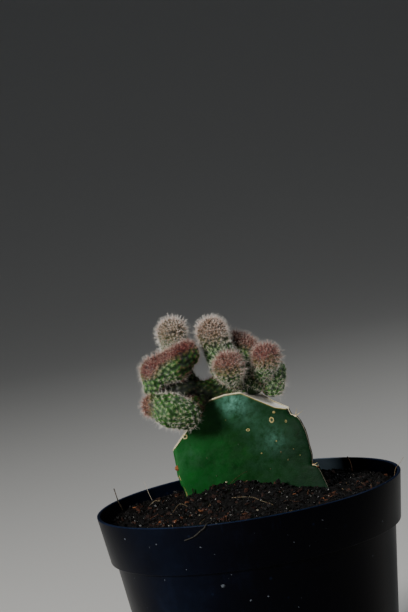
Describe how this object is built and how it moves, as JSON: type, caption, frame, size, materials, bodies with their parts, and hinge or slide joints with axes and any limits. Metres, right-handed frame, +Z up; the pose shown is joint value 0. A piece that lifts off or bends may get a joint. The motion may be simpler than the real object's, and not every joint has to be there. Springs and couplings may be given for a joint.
{
  "type": "potted grafted cactus",
  "caption": "Small grafted cactus: a cluster of short, white-spined heads on a three-winged green stem, in a round black nursery pot.",
  "frame": {"origin": "middle of the pot's foot, on the surface that the pot stands on", "axes": "+Z up, along the pot's axis. The rootstock's broad face looks along -Y, towards the front"},
  "size_m": [0.1, 0.1, 0.1453],
  "materials": {
    "pot": "satin",
    "soil": "matte",
    "rootstock": "satin",
    "scion": "matte"
  },
  "bodies": {
    "root": {"pot": "pot", "soil": "soil", "rootstock": "rootstock", "scion_base": "scion", "head_centre_back": "scion", "head_low_left": "scion", "head_crest_left": "scion", "head_top_left": "scion", "head_centre_front": "scion", "head_crest_right": "scion", "head_right_front": "scion", "head_right": "scion"}
  },
  "joints": []
}
